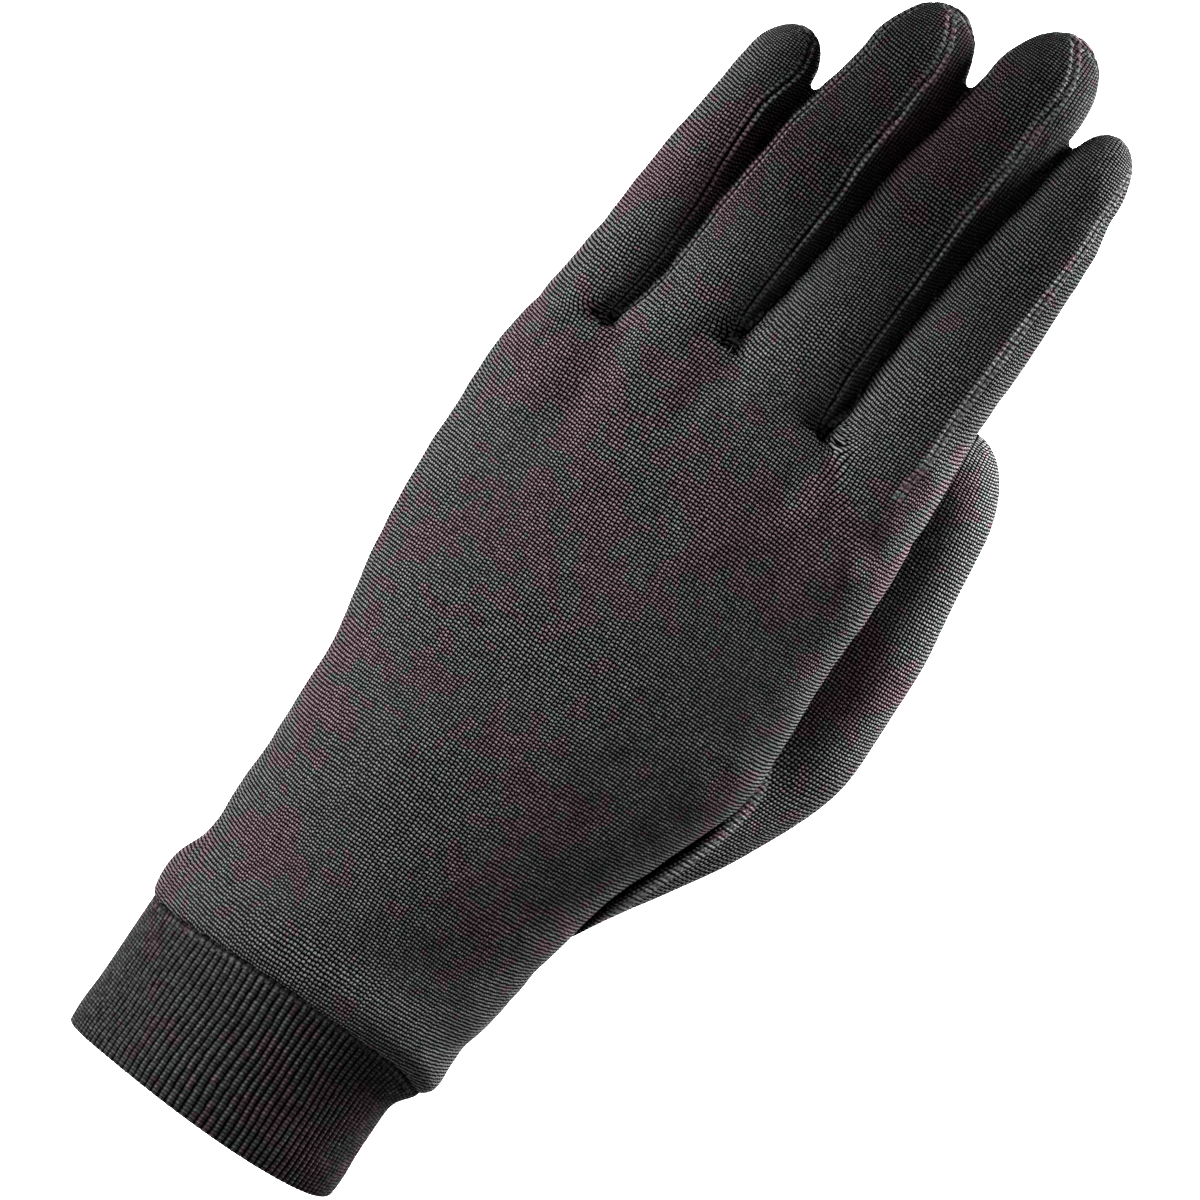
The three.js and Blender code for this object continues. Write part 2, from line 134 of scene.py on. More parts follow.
# Hand rows: up, widen, shift, deepen, round, as in the part
HAND_ROWS = (
    (0.108, 0.00, 0.44, 0.05, 2.1),
    (0.186, 0.03, 0.51, 0.13, 2.1),
    (0.270, 0.15, 0.62, 0.22, 2.1),
    (0.340, 0.29, 0.71, 0.32, 2.2),
    (0.405, 0.47, 0.88, 0.44, 2.2),
    (0.469, 0.69, 0.98, 0.56, 2.3),
    (0.546, 0.91, 1.05, 0.70, 2.4),
    (0.640, 0.96, 0.97, 0.83, 2.4),
    (0.740, 0.97, 0.91, 0.94, 2.5),
    (0.830, 1.00, 0.92, 1.04, 2.7),
    (0.910, 0.93, 0.96, 1.26, 3.0),
    (0.970, 0.80, 1.00, 1.44, 3.3),
    (1.060, 0.64, 1.00, 1.54, 3.4),
)

# Fingers: root, width, depth, lean, height, dome, then rows of up, lean, wide, deep
FINGERS = (
    (-0.403, 0.166, 0.85, 0.081, 0.691, 0.105, (
        (-0.45, -0.14, 0.90, 1.05),
        (-0.10, -0.10, 0.87, 1.10),
        (0.04, 0.15, 0.95, 1.09),
        (0.18, 0.28, 0.97, 1.06),
        (0.33, 0.36, 0.96, 1.03),
        (0.50, 0.44, 0.95, 1.00),
        (0.68, 0.54, 0.93, 0.99),
        (0.86, 0.70, 0.93, 0.97),
        (1.00, 0.86, 0.95, 0.92),
    )),
    (-0.210, 0.240, 0.98, 0.130, 0.904, 0.174, (
        (-0.35, -0.07, 0.96, 1.02),
        (-0.08, -0.06, 0.92, 1.12),
        (0.03, 0.06, 0.86, 1.11),
        (0.14, 0.18, 0.87, 1.09),
        (0.26, 0.28, 0.93, 1.06),
        (0.42, 0.37, 0.97, 1.03),
        (0.58, 0.49, 0.99, 1.01),
        (0.74, 0.59, 0.98, 0.99),
        (0.87, 0.76, 0.97, 0.97),
        (1.00, 0.89, 0.94, 0.94),
    )),
    (0.039, 0.2425, 1.00, 0.135, 1.000, 0.174, (
        (-0.30, -0.10, 1.04, 1.02),
        (-0.06, -0.05, 1.07, 1.12),
        (0.02, 0.03, 1.10, 1.11),
        (0.09, 0.11, 1.12, 1.10),
        (0.16, 0.18, 1.07, 1.08),
        (0.23, 0.25, 1.03, 1.06),
        (0.38, 0.35, 1.00, 1.03),
        (0.52, 0.46, 0.99, 1.01),
        (0.66, 0.56, 1.00, 0.99),
        (0.84, 0.77, 0.98, 0.97),
        (1.00, 0.90, 0.95, 0.94),
    )),
    (0.334, 0.2587, 1.01, 0.028, 0.871, 0.163, (
        (-0.35, 0.00, 1.08, 1.02),
        (-0.08, -0.26, 1.17, 1.12),
        (0.00, -0.21, 1.14, 1.11),
        (0.08, 0.08, 1.05, 1.10),
        (0.27, 0.03, 0.99, 1.06),
        (0.51, 0.28, 0.94, 1.00),
        (0.73, 0.60, 0.85, 0.93),
        (0.88, 0.90, 0.76, 0.87),
        (1.00, 0.88, 0.66, 0.80),
    )),
)

# Webs: name, across, rise, turn of the strip towards the back
WEBS = (
    ("fourchette_little_ring", -0.322, -0.024, 0.5),
    ("fourchette_ring_middle", -0.088, 0.039, 3.0),
    ("fourchette_middle_fore", 0.180, 0.003, 3.0),
)
STRIP_TOP = 1.5  # distance of a strip's upper end from the finger's tip
STRIP_TIP, STRIP_FOOT = 14, 9  # lengths over which a strip narrows towards its two ends
TIP_TURN = 3.5  # how much more a strip's seam turns towards the middle of the back at the tip
FORE_SEAM = 6.0  # distance of the forefinger's outer seam from the middle of its back

GROOVE_DEPTH, GROOVE_WIDTH = 0.16, 0.7  # of the dip along a seam
RIDGE_HEIGHT, RIDGE_PLACE = 0.10, 1.5  # of the rolled edges beside it
CLOTH_WAVES = ((0.22, 26, 3), (0.07, 7, 4))  # height, size and seed of the cloth's waves

# Places beside the webs: across, up, then how far the cloth is drawn across and up there
WEB_MOVES = (
    (-17.5, 160.0, (1.6, 0.3)),
    (2.0, 173.0, (1.5, 1.0)),
    (25.5, 168.0, (1.4, 1.6)),
)

# Soft folds of the back's cloth: from across and up to across and up, width, height
FOLDS = (
    ((26.0, 168.0), (43.0, 155.0), 3.5, 0.55),
    ((34.0, 160.0), (18.0, 143.0), 4.0, 0.40),
    ((42.0, 156.0), (42.5, 155.0), 4.5, 0.75),
    ((4.0, 170.0), (2.0, 150.0), 4.5, 0.30),
    ((-18.0, 159.0), (-13.0, 148.0), 3.5, -0.35),
    ((-24.0, 152.0), (-10.0, 163.0), 4.0, 0.30),
)

# Thumb rows: up, across, back, wide, deep
THUMB_ROWS = (
    (-0.070, -0.14, -0.02, 0.50, 0.52),
    (0.000, 0.00, 0.05, 0.80, 0.80),
    (0.090, 0.12, 0.20, 1.00, 0.98),
    (0.170, 0.28, 0.38, 1.16, 1.14),
    (0.240, 0.44, 0.54, 1.22, 1.20),
    (0.320, 0.62, 0.70, 1.22, 1.18),
    (0.400, 0.80, 0.84, 1.16, 1.12),
    (0.480, 0.94, 0.94, 1.07, 1.06),
    (0.590, 1.00, 1.00, 1.00, 1.02),
    (0.720, 0.99, 1.00, 0.99, 1.00),
    (0.860, 0.93, 0.98, 0.99, 0.98),
    (1.000, 0.86, 0.94, 0.97, 0.95),
)

# Dents in the back and swells of the palm: across, rise, wide, tall, move
DENTS = (
    (-0.31, -0.06, 0.045, 0.15, 1.00),
    (-0.08, 0.00, 0.045, 0.13, 0.80),
    (0.19, -0.02, 0.045, 0.13, 0.80),
    (0.28, -0.16, 0.100, 0.06, 0.53),
    (0.24, -0.62, 0.060, 0.22, 0.47),
)
SWELLS = (
    (0.22, -0.62, 0.20, 0.20, 1.00),
    (-0.32, -0.58, 0.18, 0.30, 0.73),
    (0.02, -0.12, 0.40, 0.07, 0.47),
)


def across_hand(share):
    return HAND_SHIFT + share * PALM_WIDTH


def up_hand(share):
    return SEAM_HEIGHT + share * PALM_LENGTH


def ramp(value, low, high):
    """0 below low, 1 above high and smooth between them."""
    t = np.clip((value - low) / (high - low), 0, 1)
    return t * t * (3 - 2 * t)


def through(xs, ys, at):
    """A smooth curve through points, level beyond its ends."""
    xs, ys = np.asarray(xs, float), np.asarray(ys, float)
    slopes = np.gradient(ys, xs)
    i = np.clip(np.searchsorted(xs, at) - 1, 0, len(xs) - 2)
    h = xs[i + 1] - xs[i]
    t = np.clip((at - xs[i]) / h, 0, 1)
    return (
        (1 + 2 * t) * (1 - t) ** 2 * ys[i]
        + t * (1 - t) ** 2 * h * slopes[i]
        + t * t * (3 - 2 * t) * ys[i + 1]
        + t * t * (t - 1) * h * slopes[i + 1]
    )


def ripple(points, size, seed):
    """Soft noise between about -1 and 1, with waves of about a size."""
    rng = np.random.default_rng(seed)
    total = np.zeros(len(points))
    for _ in range(14):
        way = rng.normal(size=3)
        way /= np.linalg.norm(way)
        pitch = size * rng.uniform(0.7, 1.6)
        total += np.sin(points @ way * (2 * math.pi / pitch) + rng.uniform(0, 2 * math.pi))
    return total / 3.5


def middle_at(x, z):
    """Where the hand's middle from front to back lies."""
    raised = ramp(z, SEAM_HEIGHT, KNUCKLE_HEIGHT)
    curl = FINGER_CURL * (np.maximum(0, z - KNUCKLE_HEIGHT) / FINGER_LENGTH) ** 2
    return curl - raised * (BACK_LIFT + KNUCKLE_SLANT * x)


def relief_at(forms, x, z):
    """Height of dents or swells."""
    total = 0
    for across, rise, wide, tall, move in forms:
        aside = (x - across_hand(across)) / (wide * PALM_WIDTH)
        above = (z - up_hand(1 + rise)) / (tall * PALM_LENGTH)
        total = total + move * np.exp(-aside * aside - above * above)
    return total


# Sections: each function gives, at heights z, the middle across, half the width, half the
# depth and the roundness. thumb_at also gives the middle from front to back, in second place.

HAND_HEIGHTS = [SEAM_HEIGHT + HEM_RISE, SEAM_HEIGHT + 1.7 * HEM_RISE] + [
    up_hand(r[0]) for r in HAND_ROWS
]
HAND_ACROSS = [0.22 * HAND_SHIFT, 0.21 * HAND_SHIFT] + [r[2] * HAND_SHIFT for r in HAND_ROWS]
HAND_WIDE = [HEM_WIDTH, HEM_WIDTH - 0.2] + [
    WRIST_WIDTH + (PALM_WIDTH - WRIST_WIDTH) * r[1] for r in HAND_ROWS
]
HAND_DEEP = [HEM_DEPTH, HEM_DEPTH - 0.2] + [
    WRIST_DEPTH + (PALM_DEPTH - WRIST_DEPTH) * r[3] for r in HAND_ROWS
]
HAND_ROUND = [CUFF_ROUND, CUFF_ROUND] + [r[4] for r in HAND_ROWS]


def hand_at(z):
    return (
        through(HAND_HEIGHTS, HAND_ACROSS, z),
        through(HAND_HEIGHTS, HAND_WIDE, z) / 2,
        through(HAND_HEIGHTS, HAND_DEEP, z) / 2,
        through(HAND_HEIGHTS, HAND_ROUND, z),
    )


def thumb_section(z):
    """The thumb's section without its middle from front to back."""
    across, _, wide, deep, roundness = thumb_at(z)
    return across, wide, deep, roundness


def cuff_section(z):
    level = z * 0
    return level, level + CUFF_WIDTH / 2, level + CUFF_DEPTH / 2, level + CUFF_ROUND


def finger_at(finger, z):
    root, width, depth, lean, height, dome, rows = finger
    heights = [KNUCKLE_HEIGHT + r[0] * (height - dome) * FINGER_LENGTH for r in rows]
    tip = KNUCKLE_HEIGHT + height * FINGER_LENGTH
    share = np.clip((z - heights[-1]) / (tip - heights[-1]), 0, 1)
    small = np.sqrt(np.maximum(0, 1 - share * share))
    start = across_hand(root)
    across = start + lean * FINGER_LENGTH * through(heights, [r[1] for r in rows], z)
    across = across + share * (start + lean * FINGER_LENGTH - across)
    wide = PALM_WIDTH * width * through(heights, [r[2] for r in rows], z) / 2
    deep = FINGER_DEPTH * depth * through(heights, [r[3] for r in rows], z) / 2
    return across, wide * small, deep * small, np.full_like(z, FINGER_ROUND)


def thumb_at(z):
    foot = up_hand(THUMB_FOOT[1])
    start = across_hand(THUMB_FOOT[0])
    heights = [foot + r[0] * (THUMB_LENGTH - THUMB_DOME) for r in THUMB_ROWS]
    tip = foot + THUMB_LENGTH
    share = np.clip((z - heights[-1]) / (tip - heights[-1]), 0, 1)
    small = np.sqrt(np.maximum(0, 1 - share * share))
    across = through(heights, [r[1] for r in THUMB_ROWS], z)
    back = through(heights, [r[2] for r in THUMB_ROWS], z)
    across = start + THUMB_REACH * (across + share * (THUMB_TOP[0] - across))
    back = THUMB_SETBACK * (back + share * (THUMB_TOP[1] - back))
    wide = THUMB_WIDTH * through(heights, [r[3] for r in THUMB_ROWS], z) / 2
    deep = THUMB_DEPTH * through(heights, [r[4] for r in THUMB_ROWS], z) / 2
    return across, back, wide * small, deep * small, np.full_like(z, THUMB_ROUND)


def bulge(value, roundness):
    return np.sign(value) * np.abs(value) ** (2 / roundness)


def fold_at(x, z):
    """Height of the back's soft folds."""
    total = 0
    for start, end, wide, high in FOLDS:
        run, rise = end[0] - start[0], end[1] - start[1]
        along = (x - start[0]) * run + (z - start[1]) * rise
        share = np.clip(along / (run * run + rise * rise), 0, 1)
        away = np.hypot(x - start[0] - share * run, z - start[1] - share * rise)
        total = total + high * np.exp(-(away / wide) ** 2)
    return total


def web_line(x):
    """Height of the line that runs through the webs."""
    low = KNUCKLE_HEIGHT - WEB_SLOPE
    little, fore = FINGERS[0], FINGERS[-1]
    xs = [across_hand(little[0] - little[1] / 2)]
    xs += [across_hand(web[1]) for web in WEBS]
    xs += [across_hand(fore[0] + fore[1] / 2)]
    zs = [low] + [up_hand(1 + web[2]) for web in WEBS] + [low]
    return through(xs, zs, x)


def seam_height(x, y):
    """Height of the cuff's seam: up on the back and the palm, down at the thumb's side."""
    turn = np.arctan2(y / CUFF_DEPTH, x / CUFF_WIDTH)
    side = np.cos(turn)
    rise = SEAM_WAVE * np.sin(turn) ** 2 + SIDE_RISE * side ** 2
    return SEAM_HEIGHT + rise - THUMB_SIDE_DROP * np.maximum(0, side) ** 12


# Meshes from rings

def rings_to_mesh(rings, capped=True):
    """Points and faces of a closed run of rings, each an array of as many points."""
    count = len(rings[0])
    points = np.concatenate(rings)
    steps = np.arange(count)
    nexts = (steps + 1) % count
    faces = []
    for low in range(0, (len(rings) - 1) * count, count):
        quads = np.stack([low + steps, low + nexts, low + count + nexts, low + count + steps], 1)
        faces += quads.tolist()
    if capped:
        points = np.concatenate([points, [rings[0].mean(0), rings[-1].mean(0)]])
        first, last = len(points) - 2, len(points) - 1
        top = (len(rings) - 1) * count
        faces += [[first, b, a] for a, b in zip(steps.tolist(), nexts.tolist())]
        faces += [[last, top + a, top + b] for a, b in zip(steps.tolist(), nexts.tolist())]
    return points, faces


def merged(parts):
    """Several pairs of points and faces as one."""
    points, faces, start = [], [], 0
    for more_points, more_faces in parts:
        points.append(more_points)
        faces += [[start + i for i in face] for face in more_faces]
        start += len(more_points)
    return np.concatenate(points), faces


def dome_heights(low, last, tip, step):
    """Heights up a finger: even to its last row, then closer and closer to its tip."""
    straight = np.arange(low, last, step)
    turns = np.linspace(0, math.pi / 2 * 0.985, max(6, int((tip - last) / step * 1.6)))
    return np.concatenate([straight, last + (tip - last) * np.sin(turns)])


def hand_mesh():
    """The palm and the back as a closed mesh, from the hem to the webs."""
    turns = np.arange(HAND_SIDES) / HAND_SIDES * 2 * math.pi
    rings = []
    for rise, swell in HEM_ROWS:
        wide = (CUFF_WIDTH + (HEM_WIDTH - CUFF_WIDTH) * swell) / 2
        deep = (CUFF_DEPTH + (HEM_DEPTH - CUFF_DEPTH) * swell) / 2
        x = HAND_ACROSS[0] * swell + wide * bulge(np.cos(turns), CUFF_ROUND)
        y = deep * bulge(np.sin(turns), CUFF_ROUND)
        z = seam_height(x, y) + rise
        rings.append(np.stack([x, y + middle_at(x, z), z], 1))
    for z in np.arange(SEAM_HEIGHT + HEM_TOP, HAND_HEIGHTS[-1] + 1, 1.5):
        across, wide, deep, roundness = (float(v) for v in hand_at(z))
        x = across + wide * bulge(np.cos(turns), roundness)
        dents, swells = DENT_DEPTH * relief_at(DENTS, x, z), SWELL_HEIGHT * relief_at(SWELLS, x, z)
        forms = np.where(np.sin(turns) < 0, dents, swells)
        side = deep * bulge(np.sin(turns), roundness)
        y = side + middle_at(x, z) + np.abs(np.sin(turns)) * forms
        lip = 2.5 * (side / deep) ** 2
        rings.append(np.stack([x, y, np.minimum(z, web_line(x) - lip)], 1))
    return rings_to_mesh(rings)


def finger_mesh(finger):
    """A finger as a closed mesh that starts inside the hand."""
    turns = np.arange(FINGER_SIDES) / FINGER_SIDES * 2 * math.pi
    height, dome, rows = finger[4:]
    low = KNUCKLE_HEIGHT + rows[0][0] * (height - dome) * FINGER_LENGTH
    last = KNUCKLE_HEIGHT + (height - dome) * FINGER_LENGTH
    tip = KNUCKLE_HEIGHT + height * FINGER_LENGTH
    rings = []
    for z in dome_heights(low, last, tip, 1.2):
        across, wide, deep, roundness = (float(v) for v in finger_at(finger, np.array(z)))
        x = across + wide * bulge(np.cos(turns), roundness)
        y = deep * bulge(np.sin(turns), roundness) + middle_at(x, z)
        rings.append(np.stack([x, y, np.full_like(x, z)], 1))
    return rings_to_mesh(rings)


def remeshed(points, faces, size):
    """The outer surface of overlapping closed meshes, in even square faces."""
    mesh = bpy.data.meshes.new("raw")
    mesh.from_pydata(points.tolist(), [], faces)
    thing = bpy.data.objects.new("raw", mesh)
    bpy.context.scene.collection.objects.link(thing)
    remesh = thing.modifiers.new("remesh", "REMESH")
    remesh.mode = "VOXEL"
    remesh.voxel_size = size
    graph = bpy.context.evaluated_depsgraph_get()
    made = bpy.data.meshes.new_from_object(thing.evaluated_get(graph))
    places = np.empty(len(made.vertices) * 3)
    made.vertices.foreach_get("co", places)
    corners = np.empty(len(made.loops), int)
    made.loops.foreach_get("vertex_index", corners)
    quads = corners.reshape(-1, 4)
    bpy.data.objects.remove(thing)
    bpy.data.meshes.remove(made)
    bpy.data.meshes.remove(mesh)
    return places.reshape(-1, 3), quads


def edges_of(quads):
    pairs = np.concatenate([quads[:, [i, (i + 1) % 4]] for i in range(4)])
    return np.unique(np.sort(pairs, axis=1), axis=0)


def around(points, edges):
    """For each point, the mean of those that edges join it to."""
    total = np.zeros_like(points)
    count = np.bincount(edges.ravel(), minlength=len(points)).astype(float)
    for axis in range(points.shape[1]):
        total[:, axis] = np.bincount(edges[:, 0], points[edges[:, 1], axis], len(points))
        total[:, axis] += np.bincount(edges[:, 1], points[edges[:, 0], axis], len(points))
    return total / np.maximum(count, 1)[:, None]


def smoothed(points, edges, rounds):
    """Smooths a surface and keeps its volume."""
    for _ in range(rounds):
        points = points + 0.5 * (around(points, edges) - points)
        points = points - 0.52 * (around(points, edges) - points)
    return points


def normals_of(points, quads):
    a, b, c, d = (points[quads[:, i]] for i in range(4))
    faces = np.cross(c - a, d - b)
    total = np.zeros_like(points)
    for corner in range(4):
        for axis in range(3):
            total[:, axis] += np.bincount(quads[:, corner], faces[:, axis], len(points))
    return total / np.maximum(np.linalg.norm(total, axis=1), 1e-9)[:, None]


def snapped(points, edges, field):
    """Moves the points next to a field's zero onto it, and gives the field there."""
    a, b = edges[:, 0], edges[:, 1]
    cross = field[a] * field[b] < 0
    a, b = a[cross], b[cross]
    share = field[a] / (field[a] - field[b])
    near = np.where(share < 0.5, a, b)
    places = points[a] + share[:, None] * (points[b] - points[a])
    count = np.bincount(near, minlength=len(points))
    moved = count > 0
    points, field = points.copy(), field.copy()
    for axis in range(3):
        total = np.bincount(near, places[:, axis], len(points))
        points[moved, axis] = total[moved] / count[moved]
    field[moved] = 0
    return points, field


# Places on the cloth

def arc_table(wide, deep, roundness):
    """Lengths round a section from the middle of its back to each of 361 turns."""
    turns = np.linspace(-math.pi, math.pi, 361)
    sine, cosine = np.sin(turns), np.cos(turns)
    far = (np.abs(sine) ** roundness + np.abs(cosine) ** roundness) ** (-1 / roundness)
    x = wide * far * sine
    y = -deep * far * cosine
    lengths = np.concatenate([[0], np.cumsum(np.hypot(np.diff(x), np.diff(y)))])
    return lengths - lengths[180]


def arc_round(section, x, y, z, middle):
    """Length round a section from the middle of its back, positive towards the thumb."""
    across, wide, deep, _ = section(z)
    wide, deep = np.maximum(wide, THINNEST), np.maximum(deep, THINNEST)
    turn = np.arctan2((x - across) / wide, (middle - y) / deep)
    low, high = z.min(), z.max()
    rows = np.linspace(low, high, max(2, int((high - low) / 2)))
    sizes = section(rows)
    table = np.array([
        arc_table(max(w, THINNEST), max(d, THINNEST), r)
        for w, d, r in zip(sizes[1], sizes[2], sizes[3])
    ])
    row = np.clip((z - low) / max(high - low, 1e-6) * (len(rows) - 1), 0, len(rows) - 1.001)
    step = np.clip((turn + math.pi) / (2 * math.pi) * 360, 0, 359.999)
    i, j = row.astype(int), step.astype(int)
    s, t = row - i, step - j
    return (
        (1 - s) * ((1 - t) * table[i, j] + t * table[i, j + 1])
        + s * ((1 - t) * table[i + 1, j] + t * table[i + 1, j + 1])
    )


def reach_of(section, x, y, z, middle):
    """How far out a point lies: 1 on the section's edge."""
    across, wide, deep, roundness = section(z)
    sideways = np.abs(x - across) / np.maximum(wide, THINNEST)
    inward = np.abs(y - middle) / np.maximum(deep, THINNEST)
    return (sideways ** roundness + inward ** roundness) ** (1 / roundness)


def make_mesh(name, points, faces, maps=(), thick=0.0):
    """A mesh object in metres. maps are pairs of a name and two numbers for each point."""
    mesh = bpy.data.meshes.new(name)
    mesh.from_pydata((points * 0.001).tolist(), [], faces)
    corners = np.empty(len(mesh.loops), int)
    mesh.loops.foreach_get("vertex_index", corners)
    for map_name, values in maps:
        layer = mesh.uv_layers.new(name=map_name)
        layer.data.foreach_set("uv", values[corners].ravel())
    mesh.shade_smooth()
    thing = bpy.data.objects.new(name, mesh)
    bpy.context.scene.collection.objects.link(thing)
    if thick:
        wall = thing.modifiers.new("wall", "SOLIDIFY")
        wall.thickness = thick * 0.001
        wall.offset = -1
        graph = bpy.context.evaluated_depsgraph_get()
        made = bpy.data.meshes.new_from_object(thing.evaluated_get(graph))
        thing.modifiers.clear()
        thing.data = made
        bpy.data.meshes.remove(mesh)
        made.name = name
    return thing


def dress(thing, material, node):
    """Gives a piece its material and body, in place of a node of the part, which it hides."""
    thing.data.materials.clear()
    thing.data.materials.append(material)
    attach(thing, "root")
    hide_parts(node)


# Materials

class Nodes:
    """Short calls for a material's nodes."""

    def __init__(self, name):
        self.material = bpy.data.materials.new(name)
        self.material.use_nodes = True
        self.tree = self.material.node_tree
        self.tree.nodes.clear()

    def add(self, kind, values=(), **settings):
        node = self.tree.nodes.new(kind)
        for key, value in settings.items():
            setattr(node, key, value)
        for key, value in dict(values).items():
            if isinstance(value, bpy.types.NodeSocket):
                self.tree.links.new(value, node.inputs[key])
            else:
                node.inputs[key].default_value = value
        return node

    def math(self, operation, a, b=0.0, c=0.0):
        return self.add("ShaderNodeMath", {0: a, 1: b, 2: c}, operation=operation).outputs[0]

    def product(self, a, b):
        return self.math("MULTIPLY", a, b)

    def sum_of(self, a, b, c):
        """a times b plus c."""
        return self.math("MULTIPLY_ADD", a, b, c)

    def wave(self, turns):
        """1 halfway between whole turns and 0 at each of them."""
        return self.math("ABSOLUTE", self.math("SINE", self.product(turns, math.pi)))

    def spread(self, value, low, high, to_low=0.0, to_high=1.0, kind="SMOOTHSTEP"):
        """Takes low to to_low and high to to_high, and holds the value between them."""
        values = {"Value": value, "From Min": low, "From Max": high}
        values.update({"To Min": to_low, "To Max": to_high})
        return self.add("ShaderNodeMapRange", values, interpolation_type=kind).outputs["Result"]

    def noise(self, place, scale, detail=2.0, rough=0.5):
        values = {"Vector": place, "Scale": scale, "Detail": detail, "Roughness": rough}
        return self.add("ShaderNodeTexNoise", values).outputs["Fac"]

    def split(self, vector):
        return self.add("ShaderNodeSeparateXYZ", {0: vector}).outputs

    def mix(self, share, a, b):
        """a where share is 0 and b where it is 1."""
        node = self.add("ShaderNodeMix", data_type="RGBA", blend_type="MIX")
        for index, value in ((0, share), (6, a), (7, b)):
            if isinstance(value, bpy.types.NodeSocket):
                self.tree.links.new(value, node.inputs[index])
            else:
                node.inputs[index].default_value = value
        return node.outputs[2]

    def finished(self, values):
        """The material, with a shader of these values."""
        shader = self.add("ShaderNodeBsdfPrincipled", values)
        out = self.add("ShaderNodeOutputMaterial")
        self.tree.links.new(shader.outputs[0], out.inputs[0])
        return self.material


def loop_height(n, place, wale, course, ribbed, rowed):
    """Height of the knit's loops. ribbed and rowed are the depths of the gaps between columns
    and between rows."""
    u, v, _ = n.split(n.add("ShaderNodeUVMap", uv_map="knit").outputs[0])
    sway = n.math("SUBTRACT", n.noise(place, SWAY_SCALE, 2.0, 0.6), 0.5)
    columns = n.sum_of(sway, 0.35, n.math("DIVIDE", u, wale))
    rows = n.sum_of(sway, 0.30, n.math("DIVIDE", v, course))
    column = n.math("FLOOR", columns)
    shift = n.add("ShaderNodeTexWhiteNoise", {"W": column}, noise_dimensions="1D").outputs["Value"]
    lean = n.math("ABSOLUTE", n.sum_of(n.math("FRACT", columns), 2.0, -1.0))
    rows = n.sum_of(lean, LOOP_LEAN, n.sum_of(shift, COLUMN_SHIFT, rows))
    loop = n.sum_of(n.wave(rows), rowed, 1 - rowed)
    halves = n.math("ABSOLUTE", n.math("SINE", n.product(columns, 2 * math.pi)))
    width = n.sum_of(n.wave(columns), ribbed, n.sum_of(halves, 0.22, 0.78 - ribbed))
    half_column = n.math("FLOOR", n.product(columns, 2.0))
    cell = n.add("ShaderNodeCombineXYZ", {"X": half_column, "Y": n.math("FLOOR", rows)})
    chance = n.add("ShaderNodeTexWhiteNoise", {"Vector": cell.outputs[0]}, noise_dimensions="2D")
    chance = n.sum_of(chance.outputs["Value"], LOOP_SPREAD, 0.875)
    fuzz = n.math("SUBTRACT", n.noise(place, FUZZ_SCALE, 1.0, 0.5), 0.5)
    return n.sum_of(fuzz, LOOP_FUZZ, n.product(n.product(loop, width), chance))


def yarn_colour(n, place, shade):
    """Charcoal with patches of maroon, edged with moss green."""
    yarn, maroon, moss = ([c * shade for c in colour] + [1] for colour in (YARN, MAROON, MOSS))
    clouds = n.noise(place, CLOUD_SCALE, 1.0, 0.5)
    specks = n.noise(place, SPECK_SCALE, 1.5, 0.5)
    tint = n.sum_of(n.math("SUBTRACT", clouds, 0.5), 1.0, specks)
    colour = n.mix(n.spread(tint, 0.54, 0.58), yarn, maroon)
    mossy = n.product(n.spread(tint, 0.48, 0.51, 0.0, 0.8), n.spread(tint, 0.57, 0.54))
    return n.mix(mossy, colour, moss)


